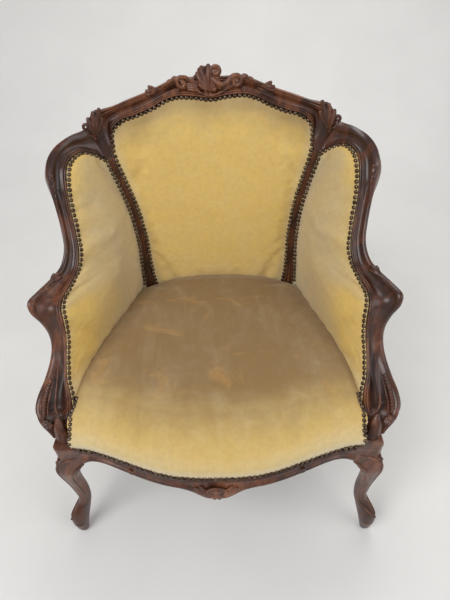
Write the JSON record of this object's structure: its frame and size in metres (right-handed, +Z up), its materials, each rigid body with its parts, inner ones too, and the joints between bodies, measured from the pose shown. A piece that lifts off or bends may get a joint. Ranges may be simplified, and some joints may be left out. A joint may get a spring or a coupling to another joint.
{
  "type": "upholstered armchair",
  "caption": "Upholstered tub armchair: carved and moulded show-wood frame with wings and cabriole legs, sprung seat, padded back and wings in velvet edged with close nailing.",
  "frame": {"origin": "centre of the bounding box in plan, at floor level, under the middle of the chair", "axes": "+X to the right seen from the front, +Y to the back, +Z up"},
  "size_m": [0.8168, 0.74, 0.9841],
  "materials": {
    "walnut": "dark walnut, carved, with a worn gloss polish",
    "beech": "unpolished beech frame timber",
    "velvet": "old gold cotton velvet, worn, with a short nap",
    "wadding": "hair and cotton wadding",
    "jute": "plain woven jute",
    "spring_steel": "drawn spring wire",
    "black_cloth": "plain woven black bottoming cloth"
  },
  "bodies": {
    "root": {"crest_rail": "walnut", "wing_rail_left": "walnut", "wing_rail_right": "walnut", "arm_left": "walnut", "arm_right": "walnut", "arm_support_left": "walnut", "arm_support_right": "walnut", "back_post_left": "walnut", "back_post_right": "walnut", "front_leg_left": "walnut", "front_leg_right": "walnut", "front_rail": "walnut", "side_rail_left": "beech", "side_rail_right": "beech", "back_rail": "beech", "corner_blocks": "beech", "frame_dowels": "beech", "seat_webbing": "jute", "seat_springs": "spring_steel", "spring_hessian": "jute", "seat_pad": "wadding", "seat_cover": "velvet", "dust_cover": "black_cloth", "back_webbing": "jute", "back_pad": "wadding", "back_cover": "velvet", "outside_back_cover": "velvet", "side_pad_left": "wadding", "side_pad_right": "wadding", "side_cover_left": "velvet", "side_cover_right": "velvet", "outside_arm_cover_left": "velvet", "outside_arm_cover_right": "velvet"}
  },
  "joints": []
}
